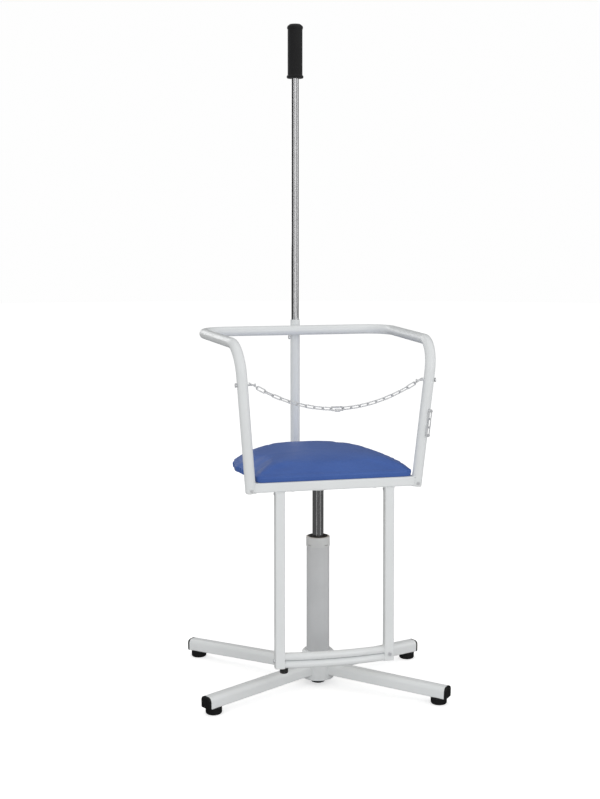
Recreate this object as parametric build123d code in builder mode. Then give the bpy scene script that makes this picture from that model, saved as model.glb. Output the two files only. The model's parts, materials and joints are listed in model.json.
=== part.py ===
from build123d import *
import math
import os

# Swivel chair on a four-legged base, with a lift column, an arm ring, a safety chain, a hanging
# footrest frame and a push pole behind the seat.
# Millimetres. +Z is up, the seat faces -Y, and the origin is on the floor under the column's axis.

# ---------------------------------------------------------------- driving dimensions

running_fit = 0.05            # radial, between a shaft and its bore
press_gap = 0.05              # round a plug or spigot that is pressed in
body_gap = 0.3                # between parts that move past each other
reach_through = 400           # length of a cutter that passes right through

# base
column_radius = 25.0
column_wall = 2.5
column_top = 301.0
collar_height = 21.0
collar_radius = 25.8
seal_height = 5.0
seal_radius = 21.0
seal_proud = 1.2              # seal ring above the collar
bearing_height = 9.0
bearing_radius = 15.0
clip_radius = 8.0
clip_height = 1.2
hub_radius = 34.5
hub_bottom = 12.0
hub_top = 72.0
hub_floor = 10.0              # thickness of the hub's closed bottom
leg_width = 29.0
leg_height = 24.5
leg_wall = 2.0
leg_round = 9.0               # the arched upper corners
leg_edge = 2.5                # the lower corners
leg_drop = 8.0                # fall of a leg from the hub to its foot
leg_bottom = 14.5             # underside of a leg above the floor, at its foot
leg_overhang = 17.0           # leg tube past its foot's centre
cap_thickness = 5.0
cap_spigot = 11.0
foot_stem = 4.0               # radius of the stem in the leg's underside
foot_radius = 17.0
foot_edge = 4.0               # rounding round a foot's sole
stem_reach = 6.0              # a foot's stem inside the leg
foot_gap = 0.6                # between a foot and the sloping leg
legs = {                      # direction from the seat's right, and the reach of the foot
    "front_left": (-152.0, 287),
    "front_right": (-41.0, 284),
    "rear_left": (135.0, 322),
    "rear_right": (24.0, 260),
}

# lift
lift_radius = 12.25
lift_wall = 2.2
lift_bottom = 72.0
lift_shoulder = 430.0
lift_spigot_radius = 8.0
gland_height = 18.0
piston_rod_radius = 5.0
piston_height = 14.0
piston_level = 226.0
bush_height = 60.0

# swivel bearing
housing_radius = 22.0
housing_height = 28.5
housing_wall = 4.0
race_height = 4.0
ball_radius = 2.5
ball_count = 12

# seat frame
frame_top = 473.5             # top of the rail, spine and seat arms
frame_tube = 20.0
frame_wall = 1.5
frame_round = 3.0             # outside corners of the square tubes
spine_width = 30.0
rail_y = -143.0
arm_radius = 11.0
arm_wall = 1.5
arm_foot = Vector(177.5, -143.5, 456)
arm_elbow = Vector(205, -168, 758)
ring_corner = Vector(222, 198, 756)
ring_skew = -8.0              # the ring's back and the seat's back stand this far to one side
elbow_radius = 58.0
corner_radius = 58.0
plug_depth = 4.0              # a tube plug's cap
seat_arm_length = 105.0
seat_arm_y = 95.0
arm_cap = 2.0                 # thickness of the caps on the seat arms
seat_screw_x = 88.0
rail_screw_y = -137.0
screw_radius = 2.5
screw_head_radius = 4.5
screw_head = 2.5
screw_hold = 8.0              # depth of a screw in the seat board
arm_screw_radius = 3.2        # head
arm_screw_head = 1.6
arm_screw_rise = 6.0          # above the rail's underside

# seat
seat_front = -151.0
seat_back = 188.0
seat_half_width = 176.0       # widest, behind the arms
seat_front_half_width = 167.0 # between the arms
seat_widest_y = 25.0
seat_corner = 14.0            # rounding of the front corners
seat_height = 38.0
seat_crown_inset = 24.0       # the top face is this much smaller all round
board_thickness = 10.0
board_inset = 3.5

# footrest
upright_x = 117.0
upright_bottom = 88.5
footbar_radius = 8.0
footbar_bow = 9.0
lower_bar_z = 92.5
upper_bar_z = 108.8
upright_cap = 2.5             # height of the plugs' caps under the uprights
stop_radius = 9.0
stop_height = 9.5
stop_neck = 3.5               # radius
bolt_radius = 4.0
bolt_head = 3.0
tie_screw_radius = 2.4
tie_screw_head = 1.4
tie_screw_aside = 4.0         # behind the middle of the upright
tie_screw_drop = 6.0          # below the frame's underside

# chain
wire_radius = 1.2
link_inner_length = 18.5
link_inner_width = 4.6
link_play = 0.3
chain_z = 680.0
chain_twist = 35.0            # degrees that the middle links lie turned over
chain_slack = 1.073           # chain length over the distance it spans
quick_inner_length = 24.0
quick_inner_width = 6.0
quick_wire_radius = 1.8
sleeve_radius = 3.2
sleeve_length = 10.0
pin_head = 2.8                # radius of a chain pin's head
pin_head_height = 2.0
pin_nut = 4.5                 # radius of the nut outside the arm
pin_nut_height = 3.0
pin_radius = 1.75
pin_seat = 4.5                # from the arm to the chain's end on its pin
pin_reach = 14.5
tail_links = 3
tail_top = 616.0

# push pole
pole_radius = 8.5
pole_wall = 1.2
pole_top = 1456.0
pole_y = 222.0
pole_foot = 470.0
socket_radius = 10.8
socket_top = 779.0
socket_bottom = 453.5
clamp_z = 738.0
clamp_radius = 3.0
clamp_head = 4.6
clamp_head_height = 4.0
grip_length = 124.0
grip_radius = 17.2
grip_roof = 6.0

frame_mid = frame_top - frame_tube / 2
frame_bottom = frame_top - frame_tube

os.makedirs("parts", exist_ok=True)


def write(piece, name):
    """Label a finished sub-part and write its STEP file."""
    piece.part.label = name
    export_step(piece.part, f"parts/{name}.step")


def ring(inner, outer, height):
    """A flat ring standing on the current location, in the part that is being built."""
    Cylinder(outer, height, align=(Align.CENTER, Align.CENTER, Align.MIN))
    Cylinder(inner, height, align=(Align.CENTER, Align.CENTER, Align.MIN), mode=Mode.SUBTRACT)


def upright_cylinder(radius, height, mode=Mode.ADD):
    """A cylinder standing on the current location."""
    Cylinder(radius, height, align=(Align.CENTER, Align.CENTER, Align.MIN), mode=mode)


def box_section(width, height):
    """The section of a rectangular tube."""
    wall = 2 * frame_wall
    with BuildSketch(mode=Mode.PRIVATE) as section:
        RectangleRounded(width, height, frame_round)
        RectangleRounded(width - wall, height - wall, frame_round - frame_wall, mode=Mode.SUBTRACT)
    return section.sketch


# ---------------------------------------------------------------- base: hub, column and feet

with BuildPart(Plane.XY.offset(hub_bottom)) as hub_socket:
    upright_cylinder(hub_radius, hub_top - hub_bottom)
    chamfer(hub_socket.faces().sort_by(Axis.Z)[-1].edges(), 4)
    with Locations((0, 0, hub_floor)):
        upright_cylinder(column_radius + press_gap, hub_top, Mode.SUBTRACT)
write(hub_socket, "hub_socket")

with BuildPart(Plane.XY.offset(hub_bottom + hub_floor)) as column_tube:
    ring(column_radius - column_wall, column_radius, column_top - hub_bottom - hub_floor)
write(column_tube, "column_tube")

# The collar sits on the column's rim, with two slots for a pin spanner.
slot_depth, slot_length, slot_height, slot_level = 5, 9, 2, 4
pocket = seal_height - seal_proud
with BuildPart(Plane.XY.offset(column_top)) as collar_ring:
    ring(lift_radius + running_fit, collar_radius, collar_height)
    fillet(collar_ring.faces().sort_by(Axis.Z)[-1].edges().sort_by(Edge.length)[-1], 1.5)
    with Locations((0, 0, collar_height - pocket)):
        upright_cylinder(seal_radius + press_gap, collar_height, Mode.SUBTRACT)
    with Locations((0, 0, slot_level)):
        with PolarLocations(collar_radius, 4, start_angle=-60):
            Box(slot_depth, slot_length, slot_height, mode=Mode.SUBTRACT)
write(collar_ring, "collar_ring")

# The guide bush hangs from the collar into the column.
with BuildPart(Plane.XY.offset(column_top - bush_height)) as guide_bush:
    ring(lift_radius + running_fit, column_radius - column_wall - press_gap, bush_height)
write(guide_bush, "guide_bush")

with BuildPart(Plane.XY.offset(column_top + collar_height - pocket)) as seal_ring:
    ring(lift_radius + running_fit, seal_radius, seal_height)
    fillet(seal_ring.faces().sort_by(Axis.Z)[-1].edges(), seal_proud / 2)
write(seal_ring, "seal_ring")

bearing_seat = hub_bottom + hub_floor
with BuildPart(Plane.XY.offset(bearing_seat)) as base_bearing:
    ring(piston_rod_radius + running_fit, bearing_radius, bearing_height)
write(base_bearing, "base_bearing")

with BuildPart(Plane.XY.offset(bearing_seat)) as piston_rod:
    upright_cylinder(piston_rod_radius, piston_level + piston_height / 2 - bearing_seat)
write(piston_rod, "piston_rod")

# The piston runs inside the lift cylinder and stays with the base.
with BuildPart(Plane.XY.offset(piston_level - piston_height)) as gas_piston:
    ring(piston_rod_radius, lift_radius - lift_wall - running_fit, piston_height)
write(gas_piston, "gas_piston")

with BuildPart(Plane.XY.offset(bearing_seat + bearing_height)) as retaining_clip:
    ring(piston_rod_radius + running_fit, clip_radius, clip_height)
write(retaining_clip, "retaining_clip")

with BuildPart() as centre_foot:
    with BuildSketch(Plane.XZ):
        with BuildLine():
            Polyline((0, 0), (11, 0))
            ThreePointArc((11, 0), (15.6, 2.2), (17.5, 7))
            Polyline((17.5, 7), (17.5, hub_bottom), (0, hub_bottom), (0, 0))
        make_face()
    revolve(axis=Axis.Z)
write(centre_foot, "centre_foot")

# ---------------------------------------------------------------- base: legs


def foot_place(azimuth, reach):
    """The point of the floor under a foot's centre."""
    turn = math.radians(azimuth)
    return Vector(math.cos(turn), math.sin(turn), 0) * reach


def leg_plane(azimuth, reach, along):
    """Plane across a leg, `along` mm before its foot's centre, with +Z pointing outwards."""
    outward = foot_place(azimuth, 1) - Vector(0, 0, leg_drop / (reach - hub_radius))
    middle = foot_place(azimuth, reach) + Vector(0, 0, leg_bottom + leg_height / 2)
    return Plane(origin=middle - outward * along, x_dir=foot_place(azimuth + 90, 1), z_dir=outward)


def leg_section(shrink=0.0):
    """The arched tube section in the current sketch, smaller by `shrink` all round."""
    Rectangle(leg_width - 2 * shrink, leg_height - 2 * shrink)
    fillet(vertices().group_by(Axis.Y)[-1], max(leg_round - shrink, 1))
    fillet(vertices().group_by(Axis.Y)[0], max(leg_edge - shrink, 0.5))


for side, (azimuth, reach) in legs.items():
    root_plane = leg_plane(azimuth, reach, reach - hub_radius / 2)
    tip_plane = leg_plane(azimuth, reach, -leg_overhang)
    leg_length = reach - hub_radius / 2 + leg_overhang

    with BuildPart() as leg:
        with BuildSketch(root_plane):
            leg_section()
        extrude(amount=leg_length)
        with BuildSketch(root_plane):
            leg_section(leg_wall)
        extrude(amount=leg_length, mode=Mode.SUBTRACT)
        upright_cylinder(hub_radius, reach_through, Mode.SUBTRACT)
        with Locations(foot_place(azimuth, reach)):
            upright_cylinder(foot_stem + press_gap, leg_bottom + leg_height / 2, Mode.SUBTRACT)
    write(leg, f"leg_{side}")

    with BuildPart() as end_cap:
        with BuildSketch(tip_plane):
            leg_section()
        extrude(amount=cap_thickness)
        fillet(end_cap.faces().sort_by(Axis(tip_plane.origin, tip_plane.z_dir))[-1].edges(), 2)
        with BuildSketch(tip_plane):
            leg_section(leg_wall + press_gap)
        extrude(amount=-cap_spigot)
        with BuildSketch(tip_plane.offset(-cap_spigot)):
            leg_section(2 * leg_wall)
        extrude(amount=cap_spigot - 2, mode=Mode.SUBTRACT)
    write(end_cap, f"end_cap_{side}")

foot_places = [foot_place(azimuth, reach) for azimuth, reach in legs.values()]
with BuildPart() as feet:
    with Locations(*foot_places):
        upright_cylinder(foot_radius, leg_bottom - foot_gap)
    fillet(feet.edges().filter_by(GeomType.CIRCLE).group_by(Axis.Z)[0], foot_edge)
    fillet(feet.edges().filter_by(GeomType.CIRCLE).group_by(Axis.Z)[-1], 1)
    with Locations(*foot_places):
        upright_cylinder(foot_stem, leg_bottom + stem_reach)
write(feet, "feet")

# ---------------------------------------------------------------- lift cylinder and swivel bearing

with BuildPart(Plane.XY.offset(lift_bottom)) as lift_cylinder:
    upright_cylinder(lift_radius, lift_shoulder - lift_bottom)
    chamfer(lift_cylinder.edges().sort_by(Axis.Z)[-1], 1)
    upright_cylinder(lift_radius - lift_wall, lift_shoulder - lift_bottom - 8, Mode.SUBTRACT)
    with Locations((0, 0, lift_shoulder - lift_bottom)):
        upright_cylinder(lift_spigot_radius, frame_bottom - 2 - lift_shoulder)
write(lift_cylinder, "lift_cylinder")

with BuildPart(Plane.XY.offset(lift_bottom)) as lift_gland:
    ring(piston_rod_radius + running_fit, lift_radius - lift_wall, gland_height)
write(lift_gland, "lift_gland")

housing_bottom = frame_bottom - housing_height
race_outer = housing_radius - housing_wall - body_gap
with BuildPart(Plane.XY.offset(housing_bottom)) as swivel_housing:
    upright_cylinder(housing_radius, housing_height)
    fillet(swivel_housing.edges().sort_by(Axis.Z)[0], 1.5)
    upright_cylinder(lift_spigot_radius + running_fit, housing_height, Mode.SUBTRACT)
    roof = lift_shoulder - housing_bottom + 2 * race_height + 2 * ball_radius + body_gap
    upright_cylinder(housing_radius - housing_wall, roof, Mode.SUBTRACT)
write(swivel_housing, "swivel_housing")

ball_circle = (lift_spigot_radius + race_outer) / 2
ball_level = lift_shoulder + race_height + ball_radius
with BuildPart(Plane.XY.offset(lift_shoulder)) as lower_race:
    ring(lift_spigot_radius + running_fit, race_outer, race_height)
write(lower_race, "lower_race")

with BuildPart(Plane.XY.offset(ball_level)) as bearing_balls:
    with PolarLocations(ball_circle, ball_count):
        Sphere(ball_radius)
write(bearing_balls, "bearing_balls")

with BuildPart(Plane.XY.offset(ball_level + ball_radius + body_gap)) as upper_race:
    ring(lift_spigot_radius + body_gap, race_outer + body_gap, race_height)
write(upper_race, "upper_race")

# ---------------------------------------------------------------- seat frame

arm_direction = (arm_elbow - arm_foot).normalized()


def arm_point(z, side=1):
    """Centre of the arm's upright at height z, on the right (+1) or the left (-1)."""
    share = (z - arm_foot.Z) / (arm_elbow.Z - arm_foot.Z)
    here = arm_foot + (arm_elbow - arm_foot) * share
    return Vector(side * here.X, here.Y, here.Z)


def arm_axis(side=1):
    """Direction of the arm's upright, upwards."""
    return Vector(side * arm_direction.X, arm_direction.Y, arm_direction.Z)


def mirrored(point):
    """The same point on the chair's other side."""
    return Vector(-point.X, point.Y, point.Z)


# Where the chain's pins and the spare chain's screws go through the arms.
pin_z = chain_z - pin_radius - wire_radius - body_gap
spacing = link_inner_length - link_play
tail_side = Vector(0.45, -0.9, 0)
tail_out = (tail_side - arm_direction * tail_side.dot(arm_direction)).normalized()
tail_stand = arm_radius + link_inner_width / 2 + 2 * wire_radius + body_gap
tail_screw_radius = link_inner_width / 2 - 0.7
tail_screws = (tail_screw_radius, tail_links * spacing - tail_screw_radius)


def tail_point(down):
    """Point on the spare chain's line, `down` mm along the arm from its top."""
    return arm_point(tail_top) - arm_direction * down + tail_out * tail_stand


# One tube bent into both arms and the back.
skew = Vector(ring_skew, 0, 0)
with BuildPart() as arm_ring:
    with BuildLine() as arm_line:
        FilletPolyline(
            mirrored(arm_foot), mirrored(arm_elbow), mirrored(ring_corner) + skew,
            ring_corner + skew, arm_elbow, arm_foot,
            radius=[elbow_radius, corner_radius, corner_radius, elbow_radius],
        )
    start = Plane(origin=arm_line.line @ 0, z_dir=arm_line.line % 0)
    with BuildSketch(start):
        Circle(arm_radius)
        Circle(arm_radius - arm_wall, mode=Mode.SUBTRACT)
    sweep()
    for sign in (-1, 1):
        with Locations(Location(arm_point(pin_z, sign), (0, 90, 0))):
            Cylinder(pin_radius + press_gap, 3 * arm_radius, mode=Mode.SUBTRACT)
    with Locations(*[Plane(origin=tail_point(down), z_dir=tail_out) for down in tail_screws]):
        Cylinder(tail_screw_radius + press_gap, 2 * tail_stand, mode=Mode.SUBTRACT)
write(arm_ring, "arm_ring")

with BuildPart() as arm_plugs:
    foot_planes = [Plane(origin=arm_point(arm_foot.Z, sign), z_dir=arm_axis(sign)) for sign in (-1, 1)]
    with BuildSketch(*foot_planes):
        Circle(arm_radius)
    extrude(amount=-plug_depth)
    fillet(arm_plugs.edges().filter_by(GeomType.CIRCLE).group_by(Axis.Z)[0], plug_depth - 0.5)
    with BuildSketch(*foot_planes):
        Circle(arm_radius - arm_wall - press_gap)
    extrude(amount=14)
write(arm_plugs, "arm_plugs")

# The rail's ends are coped round the arms.
rail_half = arm_point(frame_mid).X
seat_screw_places = [(x, y) for y in (rail_screw_y, seat_arm_y) for x in (-seat_screw_x, seat_screw_x)]
with BuildPart() as front_rail:
    with BuildSketch(Plane.YZ.offset(-rail_half)):
        with Locations((rail_y, frame_mid)):
            add(box_section(frame_tube, frame_tube))
    extrude(amount=2 * rail_half)
    for sign in (-1, 1):
        with Locations(Plane(origin=arm_point(frame_mid, sign), z_dir=arm_axis(sign))):
            Cylinder(arm_radius, 3 * frame_tube, mode=Mode.SUBTRACT)
    split(bisect_by=Plane.YZ.offset(rail_half - arm_radius / 2), keep=Keep.BOTTOM)
    split(bisect_by=Plane.YZ.offset(-rail_half + arm_radius / 2), keep=Keep.TOP)
    with Locations(*[(x, rail_screw_y, frame_bottom) for x in (-seat_screw_x, seat_screw_x)]):
        Cylinder(screw_radius + press_gap, reach_through / 4, mode=Mode.SUBTRACT)
write(front_rail, "front_rail")

spine_front = rail_y + frame_tube / 2
spine_back = pole_y - socket_radius
with BuildPart() as spine_tube:
    with BuildSketch(Plane.XZ.offset(-spine_front)):
        with Locations((0, frame_mid)):
            add(box_section(spine_width, frame_tube))
    extrude(amount=-(spine_back - spine_front + socket_radius / 2))
    with Locations((0, pole_y, frame_mid)):
        Cylinder(socket_radius, 2 * frame_tube, mode=Mode.SUBTRACT)
write(spine_tube, "spine_tube")

for side, sign in (("left", -1), ("right", 1)):
    with BuildPart() as seat_arm:
        with BuildSketch(Plane.YZ.offset(sign * spine_width / 2)):
            with Locations((seat_arm_y, frame_mid)):
                add(box_section(frame_tube, frame_tube))
        extrude(amount=sign * seat_arm_length)
        with Locations((sign * seat_screw_x, seat_arm_y, frame_bottom)):
            Cylinder(screw_radius + press_gap, reach_through / 4, mode=Mode.SUBTRACT)
    write(seat_arm, f"seat_arm_{side}")

with BuildPart() as seat_arm_caps:
    for sign in (-1, 1):
        with BuildSketch(Plane.YZ.offset(sign * (spine_width / 2 + seat_arm_length))):
            with Locations((seat_arm_y, frame_mid)):
                RectangleRounded(frame_tube, frame_tube, frame_round)
        extrude(amount=sign * arm_cap)
write(seat_arm_caps, "seat_arm_caps")

# A screw through the front of each arm holds it to the rail.
with BuildPart() as arm_screws:
    for sign in (-1, 1):
        out = -Vector(0, -1, 0).cross(arm_axis(sign)).cross(arm_axis(sign)).normalized()
        place = arm_point(frame_bottom + arm_screw_rise, sign) + out * arm_radius
        with BuildSketch(Plane(origin=place, z_dir=out)):
            Circle(arm_screw_radius)
        extrude(amount=arm_screw_head)
write(arm_screws, "arm_screws")

# ---------------------------------------------------------------- seat


def seat_outline(inset=0.0):
    """D-shaped outline: a straight front, sides that widen behind the arms, a round back."""
    front = seat_front + inset
    near = seat_front_half_width - inset
    wide = seat_half_width - inset
    back = Vector(ring_skew, seat_back - inset)
    with BuildLine() as outline:
        for sign in (-1, 1):
            turn_from = Vector(sign * (near - seat_corner), front)
            turn_to = Vector(sign * near, front + seat_corner)
            widest = Vector(sign * wide + ring_skew, seat_widest_y)
            shoulder = Vector(sign * wide * 0.77 + ring_skew, back.Y * 0.7)
            Line((0, front), turn_from)
            RadiusArc(turn_from, turn_to, -sign * seat_corner)
            Spline(turn_to, widest, shoulder, back, tangents=[(sign * 0.06, 1), (-sign, 0)])
    make_face(outline.edges())


board_bottom = frame_top
with BuildPart() as seat_board:
    with BuildSketch(Plane.XY.offset(board_bottom)):
        seat_outline(board_inset)
    extrude(amount=board_thickness)
    with Locations(*[(x, y, board_bottom) for x, y in seat_screw_places]):
        Cylinder(screw_radius + press_gap, 2 * screw_hold, mode=Mode.SUBTRACT)
write(seat_board, "seat_board")

with BuildPart() as seat_cushion:
    with BuildSketch(Plane.XY.offset(board_bottom)):
        seat_outline()
    extrude(amount=seat_height / 2)
    with BuildSketch(Plane.XY.offset(board_bottom + seat_height / 2)):
        seat_outline()
    with BuildSketch(Plane.XY.offset(board_bottom + seat_height)):
        seat_outline(seat_crown_inset)
    loft()
    with BuildSketch(Plane.XY.offset(board_bottom)):
        seat_outline(board_inset)
    extrude(amount=board_thickness, mode=Mode.SUBTRACT)
write(seat_cushion, "seat_cushion")

with BuildPart() as seat_screws:
    with Locations(*[(x, y, frame_bottom - screw_head) for x, y in seat_screw_places]):
        upright_cylinder(screw_head_radius, screw_head)
        upright_cylinder(screw_radius, screw_head + frame_tube + screw_hold)
write(seat_screws, "seat_screws")

# ---------------------------------------------------------------- footrest frame

upright_y = rail_y
bolt_z = (lower_bar_z + upper_bar_z) / 2
for side, sign in (("left", -1), ("right", 1)):
    with BuildPart() as upright:
        with BuildSketch(Plane.XY.offset(upright_bottom)):
            with Locations((sign * upright_x, upright_y)):
                add(box_section(frame_tube, frame_tube))
        extrude(amount=frame_bottom - upright_bottom)
    write(upright, f"footrest_upright_{side}")

with BuildPart() as upright_plugs:
    for rise, inset in ((12, frame_wall + press_gap), (-upright_cap, 0)):
        side_length = frame_tube - 2 * inset
        with BuildSketch(Plane.XY.offset(upright_bottom)):
            with Locations((-upright_x, upright_y), (upright_x, upright_y)):
                RectangleRounded(side_length, side_length, frame_round - inset)
        extrude(amount=rise)
write(upright_plugs, "upright_plugs")

# Two bars, one over the other, bow forwards a little between the uprights.
bar_half = upright_x - frame_tube / 2
for name, level in (("lower", lower_bar_z), ("upper", upper_bar_z)):
    with BuildPart() as foot_bar:
        with BuildLine() as bar_line:
            middle = (0, upright_y - footbar_bow, level)
            ThreePointArc((-bar_half, upright_y, level), middle, (bar_half, upright_y, level))
        with BuildSketch(Plane(origin=bar_line.line @ 0, z_dir=bar_line.line % 0)):
            Circle(footbar_radius)
            Circle(footbar_radius - frame_wall, mode=Mode.SUBTRACT)
        sweep()
        split(bisect_by=Plane.YZ.offset(bar_half), keep=Keep.BOTTOM)
        split(bisect_by=Plane.YZ.offset(-bar_half), keep=Keep.TOP)
    write(foot_bar, f"footrest_bar_{name}")

with BuildPart() as footrest_bolts:
    with BuildSketch(Plane.YZ.offset(-upright_x - frame_tube / 2)):
        with Locations((upright_y, bolt_z)):
            RegularPolygon(bolt_radius, 6)
    extrude(amount=-bolt_head)
    with BuildSketch(Plane.XZ.offset(-upright_y + frame_tube / 2)):
        with Locations((upright_x, bolt_z)):
            RegularPolygon(bolt_radius, 6)
    extrude(amount=bolt_head)
write(footrest_bolts, "footrest_bolts")

with BuildPart() as footrest_screws:
    with BuildSketch(Plane.YZ.offset(-upright_x - frame_tube / 2)):
        with Locations((upright_y + tie_screw_aside, frame_bottom - tie_screw_drop)):
            Circle(tie_screw_radius)
    extrude(amount=-tie_screw_head)
    with BuildSketch(Plane.YZ.offset(upright_x - frame_tube / 2)):
        with Locations((upright_y + tie_screw_aside, frame_bottom - tie_screw_drop)):
            Circle(tie_screw_radius)
    extrude(amount=-tie_screw_head)
write(footrest_screws, "footrest_screws")

# A rubber stop under the left upright meets the base when the seat is lowered.
stop_top = lower_bar_z - footbar_radius - body_gap
with BuildPart() as footrest_stop:
    with BuildSketch(Plane.XY.offset(stop_top)):
        with Locations((-upright_x + stop_radius, upright_y)):
            Circle(stop_radius)
    extrude(amount=-stop_height, taper=4)
    fillet(footrest_stop.faces().sort_by(Axis.Z)[0].edges(), 2.5)
    with Locations((-upright_x + stop_radius / 2, upright_y, stop_top)):
        upright_cylinder(stop_neck, upright_bottom - upright_cap - stop_top)
write(footrest_stop, "footrest_stop")

# ---------------------------------------------------------------- safety chain


def link(inner_length, inner_width, wire):
    """One link lying in the XY plane, its long side along X."""
    straight = (inner_length - inner_width) / 2
    bend = inner_width / 2 + wire
    with BuildPart(mode=Mode.PRIVATE) as one_link:
        with BuildLine() as loop:
            Line((-straight, -bend), (straight, -bend))
            ThreePointArc((straight, -bend), (straight + bend, 0), (straight, bend))
            Line((straight, bend), (-straight, bend))
            ThreePointArc((-straight, bend), (-straight - bend, 0), (-straight, -bend))
        with BuildSketch(Plane(origin=(0, -bend, 0), z_dir=(1, 0, 0))):
            Circle(wire)
        sweep(path=loop.wire())
    return one_link.part


chain_anchor = arm_point(pin_z)
chain_y = chain_anchor.Y
pin_x = chain_anchor.X - arm_radius - pin_seat
links_per_side = round((pin_x * chain_slack - quick_inner_length / 2) / spacing)
half_chain = quick_inner_length / 2 + links_per_side * spacing
sag = pin_x * math.sqrt(1.5 * (half_chain / pin_x - 1))


def chain_place(distance, roll):
    """Location of a link `distance` mm along the hanging chain from its lowest point."""
    steps = 200
    x = 0.0
    for _ in range(steps):
        slope = 2 * sag * x / pin_x ** 2
        x += distance / steps / math.hypot(1, slope)
    slope = 2 * sag * x / pin_x ** 2
    z = chain_z - sag + sag * (x / pin_x) ** 2
    here = Plane(origin=(x, chain_y, z), x_dir=(1, 0, slope), z_dir=(0, -1, 0))
    return here.location * Rotation(roll, 0, 0)


for side, sign in (("left", -1), ("right", 1)):
    with BuildPart() as chain_links:
        for number in range(links_per_side):
            along = quick_inner_length / 2 + (number + 0.5) * spacing
            from_end = links_per_side - number
            roll = 90 * (from_end % 2) + chain_twist * min(1, (from_end - 1) / 3)
            with Locations(chain_place(sign * along, roll)):
                add(link(link_inner_length, link_inner_width, wire_radius))
    write(chain_links, f"chain_links_{side}")

quick_roll = 90 * ((links_per_side + 1) % 2) + 180 + chain_twist
with BuildPart() as quick_link:
    with Locations(chain_place(0, quick_roll)):
        add(link(quick_inner_length, quick_inner_width, quick_wire_radius))
write(quick_link, "quick_link")

with BuildPart() as quick_link_sleeve:
    sleeve_y = quick_inner_width / 2 + quick_wire_radius
    with Locations(chain_place(0, quick_roll)):
        with Locations(Location((-sleeve_length / 2, -sleeve_y, 0), (0, 90, 0))):
            ring(quick_wire_radius + press_gap / 5, sleeve_radius, sleeve_length)
write(quick_link_sleeve, "quick_link_sleeve")

# Shoulder pins through the arms carry the chain's end links.
with BuildPart() as chain_pins:
    inner = chain_anchor.X - arm_radius - pin_reach
    outer = chain_anchor.X + arm_radius + 1
    stretches = (
        (inner, outer, pin_radius),
        (inner - pin_head_height, inner, pin_head),
        (outer, outer + pin_nut_height, pin_nut),
    )
    for sign in (-1, 1):
        for near, far, radius in stretches:
            with BuildSketch(Plane.YZ.offset(sign * near)):
                with Locations((chain_y, pin_z)):
                    Circle(radius)
            extrude(amount=sign * (far - near))
write(chain_pins, "chain_pins")

# Spare links are kept along the front of the right arm, held by a screw at each end.
with BuildPart() as spare_links:
    for number in range(tail_links):
        middle = Plane(origin=tail_point((number + 0.5) * spacing), x_dir=arm_direction, z_dir=tail_out)
        twist = number * 180 / (tail_links - 1)
        with Locations(middle.location * Rotation(twist, 0, 0)):
            add(link(link_inner_length, link_inner_width, wire_radius))
write(spare_links, "spare_links")

with BuildPart() as spare_screws:
    head = wire_radius + body_gap
    for down in tail_screws:
        shank = Plane(origin=tail_point(down) - tail_out * (tail_stand - arm_radius + 3), z_dir=tail_out)
        with BuildSketch(shank):
            Circle(tail_screw_radius)
        extrude(amount=tail_stand - arm_radius + 3 + head)
        with BuildSketch(Plane(origin=tail_point(down) + tail_out * head, z_dir=tail_out)):
            Circle(3.4)
        extrude(amount=1.6)
write(spare_screws, "spare_screws")

# ---------------------------------------------------------------- push pole and its socket

with BuildPart(Plane(origin=(0, pole_y, socket_bottom))) as pole_socket:
    ring(pole_radius + running_fit, socket_radius, socket_top - socket_bottom)
    fillet(pole_socket.faces().sort_by(Axis.Z)[-1].edges().sort_by(Edge.length)[-1], 0.8)
    with Locations(Location((0, 0, clamp_z - socket_bottom), (0, -90, 0))):
        upright_cylinder(clamp_radius, 2 * socket_radius, Mode.SUBTRACT)
write(pole_socket, "pole_socket")

with BuildPart(Plane(origin=(0, pole_y, socket_bottom))) as socket_plug:
    upright_cylinder(pole_radius, pole_foot - socket_bottom - body_gap)
    with Locations((0, 0, -3)):
        upright_cylinder(socket_radius, 3)
write(socket_plug, "socket_plug")

with BuildPart(Plane(origin=(-pole_radius - body_gap, pole_y, clamp_z), z_dir=(-1, 0, 0))) as clamp_screw:
    upright_cylinder(clamp_radius - press_gap, socket_radius - pole_radius + clamp_radius)
    with BuildSketch(Plane(origin=(-socket_radius - 1.2, pole_y, clamp_z), z_dir=(-1, 0, 0))):
        RegularPolygon(clamp_head, 6)
    extrude(amount=clamp_head_height)
write(clamp_screw, "clamp_screw")

with BuildPart(Plane(origin=(0, pole_y, pole_foot))) as pole_tube:
    ring(pole_radius - pole_wall, pole_radius, pole_top - pole_foot)
write(pole_tube, "pole_tube")

with BuildPart(Plane(origin=(0, pole_y, pole_foot + 2))) as pole_plug:
    upright_cylinder(pole_radius - pole_wall - press_gap, 18)
write(pole_plug, "pole_plug")

# The grip is a soft sleeve with a lip at each end and a domed closed top.
grip_top = pole_top + grip_roof
grip_base = grip_top - grip_length
lip = 2.3
with BuildPart() as grip:
    with BuildSketch(Plane(origin=(0, pole_y, 0), z_dir=(0, -1, 0), x_dir=(1, 0, 0))):
        with BuildLine():
            bore = pole_radius + press_gap
            lip_foot = (grip_radius + 1, grip_base)
            lip_top = (grip_radius, grip_base + 7)
            bead_foot = (grip_radius, grip_top - 12)
            bead_top = (grip_radius - 1, grip_top - 3)
            Polyline((0, pole_top), (bore, pole_top), (bore, grip_base), lip_foot)
            ThreePointArc(lip_foot, (grip_radius + lip, grip_base + 3), lip_top)
            Line(lip_top, bead_foot)
            ThreePointArc(bead_foot, (grip_radius + 1.2, grip_top - 7), bead_top)
            Polyline(bead_top, (grip_radius - 5, grip_top), (0, grip_top), (0, pole_top))
        make_face()
    revolve(axis=Axis((0, pole_y, 0), (0, 0, 1)))
write(grip, "grip")
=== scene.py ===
import json
import math

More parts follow.
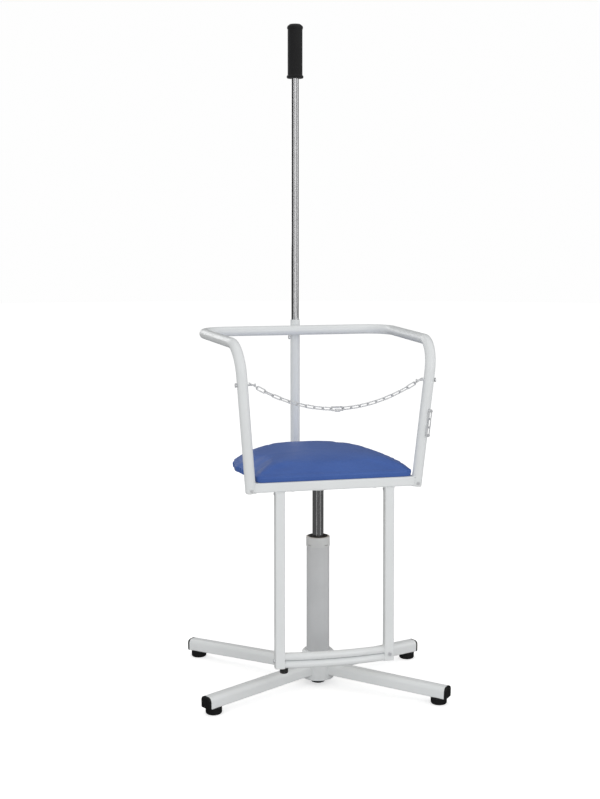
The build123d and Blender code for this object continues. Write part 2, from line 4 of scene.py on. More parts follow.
import bmesh
import bpy
import numpy as np
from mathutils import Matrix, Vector


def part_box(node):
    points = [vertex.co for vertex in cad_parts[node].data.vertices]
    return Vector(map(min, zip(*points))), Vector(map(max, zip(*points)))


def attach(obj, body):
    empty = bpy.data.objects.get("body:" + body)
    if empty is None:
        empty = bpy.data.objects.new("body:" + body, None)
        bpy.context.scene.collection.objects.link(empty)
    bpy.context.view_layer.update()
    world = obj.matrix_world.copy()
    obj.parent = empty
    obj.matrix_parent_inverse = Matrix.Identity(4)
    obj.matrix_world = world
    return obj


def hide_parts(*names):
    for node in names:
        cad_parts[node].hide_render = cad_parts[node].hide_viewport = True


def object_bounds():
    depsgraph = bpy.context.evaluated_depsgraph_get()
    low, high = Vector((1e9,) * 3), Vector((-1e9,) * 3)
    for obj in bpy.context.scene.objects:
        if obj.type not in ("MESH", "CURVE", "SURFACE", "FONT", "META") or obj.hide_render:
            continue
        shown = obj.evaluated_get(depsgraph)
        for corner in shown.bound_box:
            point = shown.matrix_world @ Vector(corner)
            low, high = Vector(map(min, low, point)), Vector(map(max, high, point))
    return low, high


# The looks of a swivel test chair: finishes for every CAD piece, an upholstered cushion, weld
# beads, a pale floor, soft light and the camera. Metres, +Z up, seat facing -Y.

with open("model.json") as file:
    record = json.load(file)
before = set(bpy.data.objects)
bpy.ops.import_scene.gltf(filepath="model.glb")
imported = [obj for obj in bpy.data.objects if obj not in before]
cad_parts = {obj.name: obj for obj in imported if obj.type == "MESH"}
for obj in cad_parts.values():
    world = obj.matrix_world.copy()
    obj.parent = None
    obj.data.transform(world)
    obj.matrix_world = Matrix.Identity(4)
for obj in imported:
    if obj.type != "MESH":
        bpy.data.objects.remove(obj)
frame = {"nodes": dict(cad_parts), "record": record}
cad_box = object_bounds()
nodes = frame["nodes"]
record = frame["record"]

MM = 0.001


# ---------------------------------------------------------------- node helpers

class Surface:
    """A Principled material with short helpers for its texture nodes."""

    def __init__(self, name):
        self.material = bpy.data.materials.new(name)
        self.material.use_nodes = True
        self.tree = self.material.node_tree
        self.shader = self.tree.nodes["Principled BSDF"]
        self.place = self.node("ShaderNodeTexCoord").outputs["Object"]

    def node(self, kind, **inputs):
        """A node with its named inputs set to values or linked to sockets."""
        made = self.tree.nodes.new(kind)
        for name, value in inputs.items():
            self.join(made.inputs[name.replace("_", " ")], value)
        return made

    def join(self, socket, value):
        if isinstance(value, bpy.types.NodeSocket):
            self.tree.links.new(value, socket)
        else:
            socket.default_value = value

    def set(self, **inputs):
        """Set or link the shader's own inputs."""
        for name, value in inputs.items():
            self.join(self.shader.inputs[name.replace("_", " ")], value)

    def stretched(self, scale):
        """Object coordinates scaled by axis, for grain that runs one way."""
        made = self.node("ShaderNodeMapping", Vector=self.place)
        made.inputs["Scale"].default_value = scale
        return made.outputs["Vector"]

    def noise(self, scale, detail=3.0, roughness=0.55, distortion=0.0, place=None):
        made = self.node(
            "ShaderNodeTexNoise", Vector=place or self.place, Scale=scale, Detail=detail,
            Roughness=roughness, Distortion=distortion,
        )
        return made.outputs["Fac"]

    def cells(self, scale, feature="SMOOTH_F1", place=None):
        made = self.node("ShaderNodeTexVoronoi", Vector=place or self.place, Scale=scale)
        made.feature = feature
        return made.outputs["Distance"]

    def ramp(self, factor, *stops):
        """Colours or greys by position along the factor."""
        made = self.node("ShaderNodeValToRGB", Fac=factor)
        band = made.color_ramp
        while len(band.elements) < len(stops):
            band.elements.new(0.5)
        for element, (where, value) in zip(band.elements, stops):
            element.position = where
            element.color = (value, value, value, 1) if isinstance(value, float) else (*value, 1)
        return made.outputs["Color"]

    def mix(self, factor, low, high, kind="MIX"):
        made = self.tree.nodes.new("ShaderNodeMix")
        made.data_type = "RGBA"
        made.blend_type = kind
        for index, value in ((0, factor), (6, low), (7, high)):
            if isinstance(value, tuple):
                value = (*value, 1)
            self.join(made.inputs[index], value)
        return made.outputs[2]

    def math(self, operation, first, second=0.5):
        made = self.tree.nodes.new("ShaderNodeMath")
        made.operation = operation
        self.join(made.inputs[0], first)
        self.join(made.inputs[1], second)
        return made.outputs[0]

    def bump(self, *layers):
        """Stacked bumps, each (height, strength, distance in metres), into the shader's normal."""
        normal = None
        for height, strength, distance in layers:
            made = self.node("ShaderNodeBump", Height=height, Strength=strength, Distance=distance)
            if normal:
                self.join(made.inputs["Normal"], normal)
            normal = made.outputs["Normal"]
        self.set(Normal=normal)

    def edges(self, radius):
        """White where the surface turns a convex or concave edge tighter than the radius."""
        soft = self.node("ShaderNodeBevel", Radius=radius)
        soft.samples = 4
        sharp = self.node("ShaderNodeNewGeometry").outputs["Normal"]
        dot = self.tree.nodes.new("ShaderNodeVectorMath")
        dot.operation = "DOT_PRODUCT"
        self.join(dot.inputs[0], soft.outputs["Normal"])
        self.join(dot.inputs[1], sharp)
        return self.ramp(dot.outputs["Value"], (0.72, 1.0), (0.92, 0.0))


# ---------------------------------------------------------------- finishes

def paint(name, light, dark, worn, roughness, grain):
    """Powder coat: slight shade variation, orange peel, rubbed edges and faint smudges."""
    s = Surface(name)
    shade = s.ramp(s.noise(9.0, 4.0), (0.30, dark), (0.70, light))
    rub = s.math("MULTIPLY", s.edges(1.2 * MM), s.ramp(s.noise(160.0, 5.0), (0.50, 0.0), (0.68, 1.0)))
    s.set(Base_Color=s.mix(rub, shade, worn))
    smudge = s.ramp(s.noise(22.0, 5.0, 0.6, 0.6), (0.35, roughness - 0.05), (0.75, roughness + 0.09))
    s.set(Roughness=smudge, Coat_Weight=0.25, Coat_Roughness=0.18)
    peel = s.noise(420.0, 2.0, 0.5)
    s.bump((peel, 0.10, grain), (s.noise(60.0, 2.0), 0.05, 0.4 * MM))
    return s.material


def metal(name, light, dark, low, high, grain_scale, grain=0.04, along=(1, 1, 1), plated=1.0):
    """Bare or plated metal with fine drawn marks, handling haze and small roughness changes."""
    s = Surface(name)
    lines = s.noise(grain_scale, 4.0, 0.6, place=s.stretched(along))
    s.set(Base_Color=s.ramp(s.noise(30.0, 4.0), (0.30, dark), (0.72, light)), Metallic=plated)
    s.set(Roughness=s.ramp(lines, (0.30, low), (0.75, high)))
    s.bump((lines, grain, 0.05 * MM))
    return s.material


def plastic(name, light, dark, roughness, grain_scale, grain):
    """Moulded plastic or rubber: fine spark texture, faint flow shading, scuffed edges."""
    s = Surface(name)
    shade = s.ramp(s.noise(35.0, 4.0), (0.30, dark), (0.72, light))
    scuff = tuple(0.9 * value + 0.035 for value in light)
    rub = s.math("MULTIPLY", s.edges(0.9 * MM), s.ramp(s.noise(240.0, 4.0), (0.45, 0.0), (0.80, 0.6)))
    s.set(Base_Color=s.mix(rub, shade, scuff))
    s.set(Roughness=s.ramp(s.noise(90.0, 4.0), (0.30, roughness - 0.07), (0.75, roughness + 0.08)))
    s.bump((s.noise(grain_scale, 3.0), 0.22, grain), (s.noise(45.0, 2.0), 0.05, 0.3 * MM))
    return s.material


def foam(name):
    """Closed-cell foam sleeve: open pores over a soft skin, with pressed streaks along it."""
    s = Surface(name)
    pores = s.cells(900.0)
    streaks = s.noise(40.0, 4.0, 0.6, place=s.stretched((1, 1, 0.15)))
    s.set(Base_Color=s.ramp(streaks, (0.30, (0.006, 0.006, 0.0065)), (0.75, (0.014, 0.014, 0.015))))
    s.set(Roughness=s.ramp(pores, (0.10, 0.88), (0.60, 0.62)), Specular_IOR_Level=0.45)
    s.set(Sheen_Weight=0.12, Sheen_Roughness=0.5)
    s.bump((pores, 0.45, 0.25 * MM), (streaks, 0.20, 0.35 * MM))
    return s.material


def vinyl(name):
    """Upholstery vinyl: pebbled leather grain with painted shade in its valleys, soft colour drift, rubbed
    sheen, small creases.
    """
    s = Surface(name)
    pebbles = s.cells(760.0)
    folds = s.noise(26.0, 5.0, 0.55, 0.8)
    drift = s.ramp(s.noise(7.0, 3.0), (0.32, (0.046, 0.118, 0.400)), (0.70, (0.062, 0.150, 0.470)))
    # Painted shade: the pebble grain's valleys are mixed towards a darker blue, standing in for shade in
    # the grain's hollows.
    grain_valley_painted_shade = s.ramp(pebbles, (0.05, 0.0), (0.45, 0.35))
    s.set(Base_Color=s.mix(grain_valley_painted_shade, drift, (0.030, 0.075, 0.280)))
    s.set(Roughness=s.ramp(folds, (0.30, 0.44), (0.72, 0.56)), Specular_IOR_Level=0.4)
    s.set(Sheen_Weight=0.08, Sheen_Roughness=0.4)
    creases = s.noise(55.0, 4.0, 0.6, 1.2, place=s.stretched((0.5, 1, 1)))
    s.bump((pebbles, 0.16, 0.20 * MM), (creases, 0.10, 0.8 * MM), (folds, 0.05, 1.2 * MM))
    return s.material


def wood(name):
    """Sanded plywood: long grain, fine pores and slightly darker streaks."""
    s = Surface(name)
    grain = s.noise(30.0, 8.0, 0.65, 1.0, place=s.stretched((1, 9, 9)))
    pores = s.noise(900.0, 3.0, place=s.stretched((0.08, 1, 1)))
    tone = s.ramp(grain, (0.25, (0.36, 0.23, 0.12)), (0.50, (0.55, 0.39, 0.23)), (0.80, (0.64, 0.48, 0.31)))
    s.set(Base_Color=tone, Roughness=s.ramp(pores, (0.3, 0.52), (0.7, 0.72)))
    s.bump((pores, 0.25, 0.15 * MM), (grain, 0.12, 0.3 * MM))
    return s.material


def column_paint(name, light, dark):
    """Smooth grey enamel with a faint change of gloss round the column."""
    s = Surface(name)
    streaks = s.noise(60.0, 3.0, 0.5, place=s.stretched((0.4, 0.4, 2.5)))
    s.set(Base_Color=s.ramp(s.noise(14.0, 4.0), (0.30, dark), (0.72, light)))
    s.set(Roughness=s.ramp(streaks, (0.30, 0.40), (0.72, 0.50)))
    s.bump((s.noise(500.0, 2.0), 0.06, 0.05 * MM))
    return s.material


finishes = {
    "white_paint": paint(
        "white_paint", (0.80, 0.82, 0.825), (0.765, 0.785, 0.79), (0.52, 0.52, 0.50), 0.34, 0.12 * MM
    ),
    "column_paint": column_paint("column_paint", (0.60, 0.61, 0.62), (0.55, 0.56, 0.57)),
    "collar_paint": column_paint("collar_paint", (0.66, 0.67, 0.67), (0.58, 0.59, 0.59)),
    "chrome": metal(
        "chrome", (0.80, 0.80, 0.81), (0.74, 0.74, 0.75), 0.10, 0.16, 120.0, 0.002, (1, 1, 0.05)
    ),
    "steel": metal("steel", (0.58, 0.59, 0.61), (0.46, 0.47, 0.48), 0.24, 0.40, 400.0, 0.06),
    "zinc": metal(
        "zinc", (0.86, 0.87, 0.88), (0.70, 0.71, 0.73), 0.30, 0.46, 350.0, 0.06, plated=0.45
    ),
    "black_plastic": plastic(
        "black_plastic", (0.010, 0.010, 0.011), (0.006, 0.006, 0.0065), 0.50, 1500.0, 0.08 * MM
    ),
    "white_plastic": plastic(
        "white_plastic", (0.80, 0.81, 0.81), (0.74, 0.75, 0.75), 0.45, 1500.0, 0.06 * MM
    ),
    "bush_plastic": plastic(
        "bush_plastic", (0.11, 0.11, 0.12), (0.08, 0.08, 0.09), 0.40, 1200.0, 0.05 * MM
    ),
    "black_rubber": plastic(
        "black_rubber", (0.028, 0.028, 0.028), (0.015, 0.015, 0.016), 0.62, 900.0, 0.12 * MM
    ),
    "grip_foam": foam("grip_foam"),
    "vinyl": vinyl("vinyl"),
    "plywood": wood("plywood"),
}

slot_of = {part["node"]: part["material_slot"] for part in record["subparts"]}


def dress(obj, slot_name):
    """Give an object one finish."""
    obj.data.materials.clear()
    obj.data.materials.append(finishes[slot_name])


def smooth(obj, angle=32):
    """Smooth shading, with edges sharper than the angle kept."""
    for face in obj.data.polygons:
        face.use_smooth = True
    obj.data.set_sharp_from_angle(angle=math.radians(angle))


# ---------------------------------------------------------------- cushion

seat_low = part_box("seat_cushion")[0]
BASE = 0.4 * MM                # the cover's underside stands this far above the frame
CROWN = 36 * MM                # height of the crown above the seat's underside
EDGE = 19 * MM                 # height where the side turns over into the top
SIDE_SHARE = 0.42              # share of that height that is a plain side
TURN = 13 * MM                 # how far in the turn reaches
DOME = 130 * MM                # how far in from the edge the top stops rising
RINGS = 14                     # rows of points from the outline to the middle
OUTLINE_POINTS = 260
VOXEL = 4.5 * MM
SHRINK = 1.5 * MM              # the start shape is smaller, because the pad swells
CAP = 5 * MM                   # the furthest a point may swell


def outline_points():
    """The cushion's outline seen from above, as a closed loop of points."""
    points = np.array([tuple(v.co) for v in nodes["seat_cushion"].data.vertices])
    level = points[np.abs(points[:, 2] - seat_low.z) < 0.2 * MM][:, :2]
    middle = (level.min(0) + level.max(0)) / 2
    angle = np.arctan2(level[:, 1] - middle[1], level[:, 0] - middle[0])
    bins = np.round(angle, 2)
    loop = []
    for value in np.unique(bins):
        group = level[bins == value]
        loop.append(group[np.argmax(np.hypot(*(group - middle).T))])
    loop = np.array(loop)
    steps = np.hypot(*(np.roll(loop, -1, axis=0) - loop).T)
    walked = np.concatenate([[0], np.cumsum(steps)])
    closed = np.vstack([loop, loop[:1]])
    even = np.linspace(0, walked[-1], OUTLINE_POINTS, endpoint=False)
    return np.column_stack([np.interp(even, walked, closed[:, k]) for k in (0, 1)])


def nearest_on(loop, points):
    """Distance to the outline, the closest place on it, and the outward direction there."""
    best = np.full(len(points), 1e9)
    place, outward = np.zeros_like(points), np.zeros_like(points)
    for start, end in zip(loop, np.roll(loop, -1, axis=0)):
        along = end - start
        length = max(float(np.hypot(*along)), 1e-9)
        spot = start + np.clip((points - start) @ along / length ** 2, 0, 1)[:, None] * along
        far = np.hypot(*(points - spot).T)
        closer = far < best
        best[closer], place[closer] = far[closer], spot[closer]
        outward[closer] = np.array([along[1], -along[0]]) / length
    return best, place, outward


def inside_of(points, loop):
    """Distance from the outline, with the ridges that its corners would cause smoothed away."""
    near = nearest_on(loop, points)[0]
    step = np.hypot(*(np.roll(loop, -1, axis=0) - loop).T).mean()
    gaps = np.maximum(np.hypot(points[:, None, 0] - loop[:, 0], points[:, None, 1] - loop[:, 1]), 2 * MM)
    along_a_line = math.sqrt(math.pi) * math.gamma(2.5) / math.gamma(3)
    soft = (step / along_a_line * (gaps ** -6.0).sum(1)) ** -0.2
    return near + (soft - near) * np.clip((near - 8 * MM) / (17 * MM), 0, 1)


def coordinates(mesh):
    co = np.zeros(len(mesh.vertices) * 3)
    mesh.vertices.foreach_get("co", co)
    return co.reshape(-1, 3)


def put(mesh, co):
    mesh.vertices.foreach_set("co", co.astype(np.float32).ravel())
    mesh.update()


def crowned_height(inside):
    """Height of the cushion's top by distance from its edge: a turned shoulder, then a low dome."""
    turn = np.sqrt(np.clip(1 - (1 - np.clip(inside / TURN, 0, 1)) ** 2, 0, 1))
    rise = 1 - (1 - np.clip(inside / DOME, 0, 1)) ** 2.2
    return EDGE * (SIDE_SHARE + (1 - SIDE_SHARE) * turn) + (CROWN - BASE - EDGE) * rise


def apply_modifiers(obj):
    """Bake an object's modifiers into its mesh."""
    graph = bpy.context.evaluated_depsgraph_get()
    done = bpy.data.meshes.new_from_object(obj.evaluated_get(graph))
    obj.modifiers.clear()
    obj.data = done


def dome_mesh(loop):
    """A closed solid over the outline: a flat underside, a turned side and a low dome."""
    span = np.linspace(0, 1, RINGS + 1)
    middle = (loop.min(0) + loop.max(0)) / 2
    mesh = bmesh.new()
    rows = []
    for share in span[:-1]:
        flat = loop + (middle - loop) * share ** 1.3
        inside = inside_of(flat, loop)
        height = seat_low.z + BASE + crowned_height(inside)
        rows.append([mesh.verts.new((x, y, z)) for (x, y), z in zip(flat, height)])
    peak = mesh.verts.new((*middle, seat_low.z + CROWN))
    foot = [mesh.verts.new((x, y, seat_low.z + BASE)) for x, y in loop]
    under = mesh.verts.new((*middle, seat_low.z + BASE))
    count = len(loop)
    for lower, upper in zip([foot] + rows[:-1], rows):
        for i in range(count):
            j = (i + 1) % count
            mesh.faces.new((lower[i], lower[j], upper[j], upper[i]))
    for i in range(count):
        j = (i + 1) % count
        mesh.faces.new((rows[-1][i], rows[-1][j], peak))
        mesh.faces.new((foot[j], foot[i], under))
    bmesh.ops.recalc_face_normals(mesh, faces=mesh.faces)
    data = bpy.data.meshes.new("cushion")
    mesh.to_mesh(data)
    mesh.free()
    return data


def make_cushion():
    loop = outline_points()
    middle = (loop.min(0) + loop.max(0)) / 2
    inward = (middle - loop) / np.hypot(*(middle - loop).T)[:, None]
    pad = bpy.data.objects.new("cushion", dome_mesh(loop + inward * SHRINK))
    bpy.context.scene.collection.objects.link(pad)
    pad.modifiers.new("remesh", "REMESH").mode = "VOXEL"
    pad.modifiers["remesh"].voxel_size = VOXEL
    bpy.context.view_layer.update()
    apply_modifiers(pad)
    swell(pad)
    pad.modifiers.new("even", "SMOOTH").iterations = 5
    pad.modifiers["even"].factor = 0.5
    pad.modifiers.new("fine", "SUBSURF").levels = 1
    pad.modifiers["fine"].render_levels = 1
    bpy.context.view_layer.update()
    apply_modifiers(pad)
    pull_in(pad, loop, middle)
    smooth(pad, 80)
    dress(pad, "vinyl")
    return pad


def swell(pad):
    """Cloth under pressure puffs the cover up, held down at its underside."""
    start = coordinates(pad.data)
    held = pad.vertex_groups.new(name="held")
    low = [i for i, z in enumerate(start[:, 2]) if z < seat_low.z + 3 * MM]
    held.add(low, 1.0, "REPLACE")
    cloth = pad.modifiers.new("cloth", "CLOTH")
    cloth.settings.use_pressure = True
    cloth.settings.uniform_pressure_force = 4
    cloth.settings.vertex_group_mass = "held"
    cloth.settings.effector_weights.gravity = 0
    cloth.settings.bending_stiffness = 2
    scene = bpy.context.scene
    for number in range(1, 21):
        scene.frame_set(number)
    apply_modifiers(pad)
    scene.frame_set(1)
    co = coordinates(pad.data)
    move = co - start
    size = np.maximum(np.linalg.norm(move, axis=1), 1e-9)
    co = start + move * (np.minimum(size, CAP) / size)[:, None]
    put(pad.data, co)


def pull_in(pad, loop, middle):
    """The cover's side: out over the board's edge, tucked under, with fine gathers at the corners."""
    co = coordinates(pad.data)
    far, place, outward = nearest_on(loop, co[:, :2])
    rise = co[:, 2] - seat_low.z
    target = np.interp(rise, np.array([0, 3, 8, 13]) * MM, np.array([-1.6, -0.5, 0.7, 0.2]) * MM)
    hold = np.clip((13 * MM - far) / (6 * MM), 0, 1) * np.clip((17 * MM - rise) / (5 * MM), 0, 1)
    angle = np.arctan2(co[:, 1] - middle[1], co[:, 0] - middle[0])
    corner = np.exp(-((np.abs(angle + math.pi / 2) - 0.80) / 0.10) ** 2)
    back = 0.45 * np.exp(-((angle - math.pi / 2) / 0.9) ** 2)
    waves = 0.5 + 0.5 * np.sin(angle * 95 + 2.0 * np.sin(angle * 17))
    tuck = 0.35 * MM * np.clip(1 - rise / (10 * MM), 0, 1) ** 1.5 * waves * (corner + back)
    wanted = place + outward * (target - tuck)[:, None]
    co[:, :2] += (wanted - co[:, :2]) * hold[:, None]
    low = hold * np.clip((5 * MM - rise) / (3 * MM), 0, 1)
    co[:, 2] += (seat_low.z + BASE - co[:, 2]) * low
    co[:, 2] = np.maximum(co[:, 2], seat_low.z)
    put(pad.data, co)


cushion = make_cushion()
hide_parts("seat_cushion")
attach(cushion, "seat")

# ---------------------------------------------------------------- weld beads

SIDES = 8


def bead_into(mesh, path, radius, closed=True):
    """Add a rippled weld bead along a path of points to a bmesh."""
    points = [Vector(p) for p in path]
    count = len(points)
    rings = []
    for i, point in enumerate(points):
        before = points[i - 1] if closed or i else point
        after = points[(i + 1) % count] if closed or i < count - 1 else point
        way = (after - before).normalized()
        side = way.orthogonal().normalized()
        if abs(way.z) < 0.9:
            side = Vector((0, 0, 1)).cross(way).normalized()
        up = way.cross(side)
        ripple = radius * (1 + 0.16 * math.sin(i * 2 * math.pi / 4) + 0.05 * math.sin(i * 1.7))
        ring = []
        for k in range(SIDES):
            turn = 2 * math.pi * k / SIDES
            ring.append(mesh.verts.new(point + (side * math.cos(turn) + up * math.sin(turn)) * ripple))
        rings.append(ring)
    last = count if closed else count - 1
    for i in range(last):
        one, two = rings[i], rings[(i + 1) % count]
        for k in range(SIDES):
            mesh.faces.new((one[k], one[(k + 1) % SIDES], two[(k + 1) % SIDES], two[k]))
    if not closed:
        mesh.faces.new(rings[0][::-1])
        mesh.faces.new(rings[-1])


def rounded_loop(width, height, corner=3 * MM, step=1.1 * MM):
    """Points round a rounded rectangle centred on the origin."""
    half_w, half_h = width / 2 - corner, height / 2 - corner
    points = []
    corners = ((half_w, half_h), (-half_w, half_h), (-half_w, -half_h), (half_w, -half_h))
    for begin, (cx, cy) in zip((0, 90, 180, 270), corners):
        for k in range(5):
            turn = math.radians(begin + 22.5 * k)
            points.append((cx + corner * math.cos(turn), cy + corner * math.sin(turn)))
    dense = []
    for i, (ax, ay) in enumerate(points):
        bx, by = points[(i + 1) % len(points)]
        pieces = max(1, round(math.hypot(bx - ax, by - ay) / step))
        dense += [(ax + (bx - ax) * k / pieces, ay + (by - ay) * k / pieces) for k in range(pieces)]
    return dense


def circle_loop(radius, step=1.1 * MM):
    """Points round a circle centred on the origin."""
    count = round(2 * math.pi * radius / step)
    turns = [2 * math.pi * k / count for k in range(count)]
    return [(radius * math.cos(turn), radius * math.sin(turn)) for turn in turns]


def finish_mesh(mesh, name, body, slot_name):
    """Turn a bmesh into an object with its finish, riding on a body."""
    data = bpy.data.meshes.new(name)
    bmesh.ops.recalc_face_normals(mesh, faces=mesh.faces)
    mesh.to_mesh(data)
    mesh.free()
    obj = bpy.data.objects.new(name, data)
    bpy.context.scene.collection.objects.link(obj)
    smooth(obj, 60)
    dress(obj, slot_name)
    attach(obj, body)
    return obj


rail_low, rail_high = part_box("front_rail")
spine_low, spine_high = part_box("spine_tube")
TUBE = rail_high.z - rail_low.z
RAIL_Y = (rail_low.y + rail_high.y) / 2
RAIL_Z = (rail_low.z + rail_high.z) / 2
ARM_RADIUS = 11 * MM


ARM_RISE = Vector((27.5, -24.5, 302)) * MM     # how the arms splay as they rise


def arm_axis_at(z, sign):
    """Centre of an arm's upright at a height, from the ring's own vertices near its foot."""
    co = coordinates(nodes["arm_ring"].data)
    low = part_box("arm_ring")[0].z
    band = co[(np.abs(co[:, 2] - low) < 6 * MM) & (co[:, 0] * sign > 0)]
    middle = (band[:, :2].min(0) + band[:, :2].max(0)) / 2
    foot = Vector((*middle, low))
    lean = Vector((sign * ARM_RISE.x, ARM_RISE.y, ARM_RISE.z)) / ARM_RISE.z
    return foot + lean * (z - low)


def seat_welds():
    mesh = bmesh.new()
    for sign in (-1, 1):
        loop = []
        for y, z in rounded_loop(TUBE, TUBE):
            arm = arm_axis_at(RAIL_Z + z, sign)
            off = min(abs(RAIL_Y + y - arm.y), ARM_RADIUS * 0.98)
            loop.append((arm.x - sign * math.sqrt(ARM_RADIUS ** 2 - off ** 2), RAIL_Y + y, RAIL_Z + z))
        bead_into(mesh, loop, 1.5 * MM)
    for side in ("left", "right"):
        low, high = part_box(f"footrest_upright_{side}")
        x, y = (low.x + high.x) / 2, (low.y + high.y) / 2
        bead_into(mesh, [(x + a, y + b, rail_low.z) for a, b in rounded_loop(TUBE, TUBE)], 1.2 * MM)
        inner = low.x if side == "right" else high.x
        for bar in ("lower", "upper"):
            bar_low, bar_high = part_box(f"footrest_bar_{bar}")
            radius = (bar_high.z - bar_low.z) / 2
            z = (bar_low.z + bar_high.z) / 2
            bead_into(mesh, [(inner, y + a, z + b) for a, b in circle_loop(radius)], 1.1 * MM)
        arm_low, arm_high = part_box(f"seat_arm_{side}")
        face = arm_low.x if side == "right" else arm_high.x
        y = (arm_low.y + arm_high.y) / 2
        bead_into(mesh, [(face, y + a, RAIL_Z + b) for a, b in rounded_loop(TUBE, TUBE)], 1.3 * MM)
    width = spine_high.x - spine_low.x
    bead_into(mesh, [(a, rail_high.y, RAIL_Z + b) for a, b in rounded_loop(width, TUBE)], 1.4 * MM)
    low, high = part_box("pole_socket")
    radius = (high.x - low.x) / 2
    for z in (spine_low.z, spine_high.z):
        bead_into(mesh, [(a, (low.y + high.y) / 2 + b, z) for a, b in circle_loop(radius)], 1.3 * MM)
    return finish_mesh(mesh, "frame_welds", "seat", "white_paint")


def base_welds():
    mesh = bmesh.new()
    hub_low, hub_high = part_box("hub_socket")
    radius = (hub_high.x - hub_low.x) / 2
    for name in ("front_left", "front_right", "rear_left", "rear_right"):
        co = coordinates(nodes[f"leg_{name}"].data)
        near = co[np.hypot(co[:, 0], co[:, 1]) < radius + 8 * MM]
        heading = near[:, :2].mean(0)
        angle = math.atan2(heading[1], heading[0])
        low, high = near[:, 2].min(), near[:, 2].max()
        width = np.ptp(-near[:, 0] * math.sin(angle) + near[:, 1] * math.cos(angle))
        loop = []
        for across, z in rounded_loop(float(width), float(high - low), 5 * MM):
            out = math.sqrt(radius ** 2 - across ** 2)
            loop.append((
                out * math.cos(angle) - across * math.sin(angle),
                out * math.sin(angle) + across * math.cos(angle),
                (low + high) / 2 + z,
            ))
        bead_into(mesh, loop, 1.6 * MM)
    return finish_mesh(mesh, "base_welds", "root", "white_paint")


seat_welds()
base_welds()

# ---------------------------------------------------------------- finishes on the CAD nodes

for name, node in nodes.items():
    dress(node, slot_of[name])
    smooth(node)

# ---------------------------------------------------------------- floor, light and camera

FLOOR_RADIUS = 14.0
LIT, SEEN, MIRRORED = 0.66, 1.0, 0.05   # the sky's strength as light, to the eye, in reflections

def make_floor():
    """Pale floor: brighter to the eye and dimmer in reflections than as a source of light."""
    bpy.ops.mesh.primitive_circle_add(vertices=96, radius=FLOOR_RADIUS, fill_type="NGON")
    floor = bpy.context.object
    floor.name = "floor"
    made = bpy.data.materials.new("floor")
    made.use_nodes = True
    tree = made.node_tree
    tree.nodes.clear()
    out = tree.nodes.new("ShaderNodeOutputMaterial")
    path = tree.nodes.new("ShaderNodeLightPath")
    seen, mirrored = path.outputs["Is Camera Ray"], path.outputs["Is Glossy Ray"]
    matt = tree.nodes.new("ShaderNodeBsdfDiffuse")
    matt.inputs["Color"].default_value = (0.74, 0.74, 0.74, 1)
    glow = tree.nodes.new("ShaderNodeEmission")
    glow.inputs["Strength"].default_value = 0.55
    both = tree.nodes.new("ShaderNodeAddShader")
    mix = tree.nodes.new("ShaderNodeMixShader")
    dim = tree.nodes.new("ShaderNodeBsdfDiffuse")
    dim.inputs["Color"].default_value = (0.10, 0.10, 0.10, 1)
    turned = tree.nodes.new("ShaderNodeMixShader")
    for link in (
        (matt.outputs[0], both.inputs[0]), (glow.outputs[0], both.inputs[1]),
        (mirrored, turned.inputs[0]), (matt.outputs[0], turned.inputs[1]),
        (dim.outputs[0], turned.inputs[2]), (seen, mix.inputs[0]),
        (turned.outputs[0], mix.inputs[1]), (both.outputs[0], mix.inputs[2]),
        (mix.outputs[0], out.inputs[0]),
    ):
        tree.links.new(*link)
    floor.data.materials.append(made)


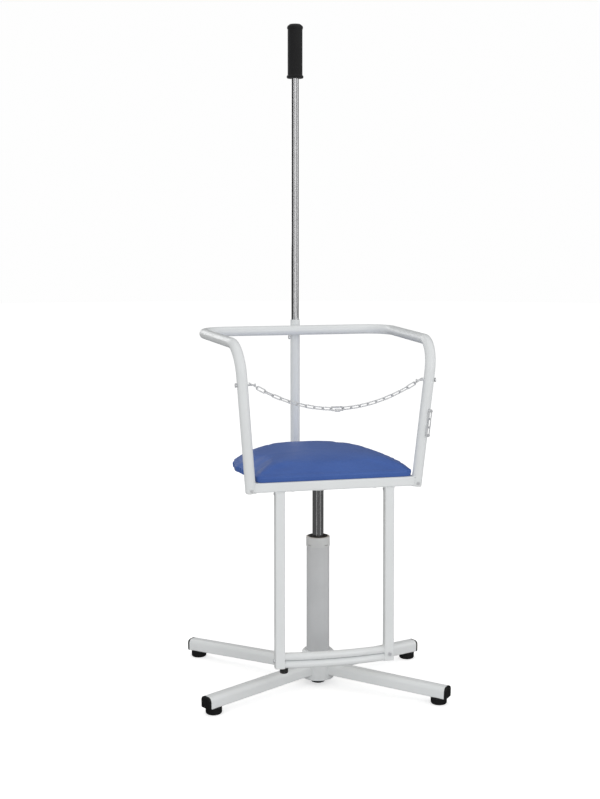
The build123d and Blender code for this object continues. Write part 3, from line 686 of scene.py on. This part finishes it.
def make_world():
    """White to the eye, softer as light, and darker in reflections so that chrome shows its form."""
    world = bpy.data.worlds.new("studio")
    world.use_nodes = True
    bpy.context.scene.world = world
    tree = world.node_tree
    tree.nodes.clear()
    out = tree.nodes.new("ShaderNodeOutputWorld")
    path = tree.nodes.new("ShaderNodeLightPath")
    skies = []
    for strength in (LIT, SEEN, MIRRORED):
        sky = tree.nodes.new("ShaderNodeBackground")
        sky.inputs["Color"].default_value = (0.99, 0.99, 0.99, 1)
        sky.inputs["Strength"].default_value = strength
        skies.append(sky)
    first = tree.nodes.new("ShaderNodeMixShader")
    second = tree.nodes.new("ShaderNodeMixShader")
    for link in (
        (path.outputs["Is Camera Ray"], first.inputs[0]), (skies[0].outputs[0], first.inputs[1]),
        (skies[1].outputs[0], first.inputs[2]), (path.outputs["Is Glossy Ray"], second.inputs[0]),
        (first.outputs[0], second.inputs[1]), (skies[2].outputs[0], second.inputs[2]),
        (second.outputs[0], out.inputs[0]),
    ):
        tree.links.new(*link)


def softbox(name, place, aim, width, height, power):
    """A rectangular lamp that lights and reflects but isn't seen."""
    data = bpy.data.lights.new(name, "AREA")
    data.shape = "RECTANGLE"
    data.size, data.size_y = width, height
    data.energy = power
    lamp = bpy.data.objects.new(name, data)
    bpy.context.scene.collection.objects.link(lamp)
    lamp.location = place
    lamp.rotation_mode = "QUATERNION"
    lamp.rotation_quaternion = (Vector(aim) - Vector(place)).to_track_quat("-Z", "Y")
    lamp.visible_camera = False


def make_camera():
    """The photo's view: a nearly level camera, its frame lowered mostly by shift."""
    turn = math.radians(13.2)
    aside, distance, height = -0.03925, 2.85, 1.0045   # from the column's axis and the floor
    focal = 1.6496                 # focal length over the frame's height
    level_shift, shift = -0.2213, -0.1475
    tilt = math.atan((shift - level_shift) / focal)
    data = bpy.data.cameras.new("camera")
    data.sensor_width = 36
    data.lens = focal * data.sensor_width
    data.shift_y = shift
    data.clip_start, data.clip_end = 0.05, 100
    camera = bpy.data.objects.new("camera", data)
    bpy.context.scene.collection.objects.link(camera)
    camera.location = (
        aside * math.cos(turn) - distance * math.sin(turn),
        -aside * math.sin(turn) - distance * math.cos(turn),
        height,
    )
    camera.rotation_euler = (math.pi / 2 - tilt, 0, -turn)
    bpy.context.scene.camera = camera


make_floor()
make_world()
centre = Vector(((cad_box[0].x + cad_box[1].x) / 2, (cad_box[0].y + cad_box[1].y) / 2, 0.5))
softbox("key", (-2.3, -2.2, 1.5), centre, 0.9, 2.6, 14)
softbox("fill", (0.75, -3.1, 1.2), centre, 1.3, 2.8, 20)
softbox("side", (3.0, -0.6, 1.6), centre, 0.9, 2.2, 10)
softbox("back", (-1.2, 3.0, 1.8), centre, 1.4, 2.0, 14)
softbox("top", (0.1, 0.2, 3.2), centre, 2.4, 2.4, 10)
make_camera()
bpy.context.scene.view_settings.view_transform = "Standard"
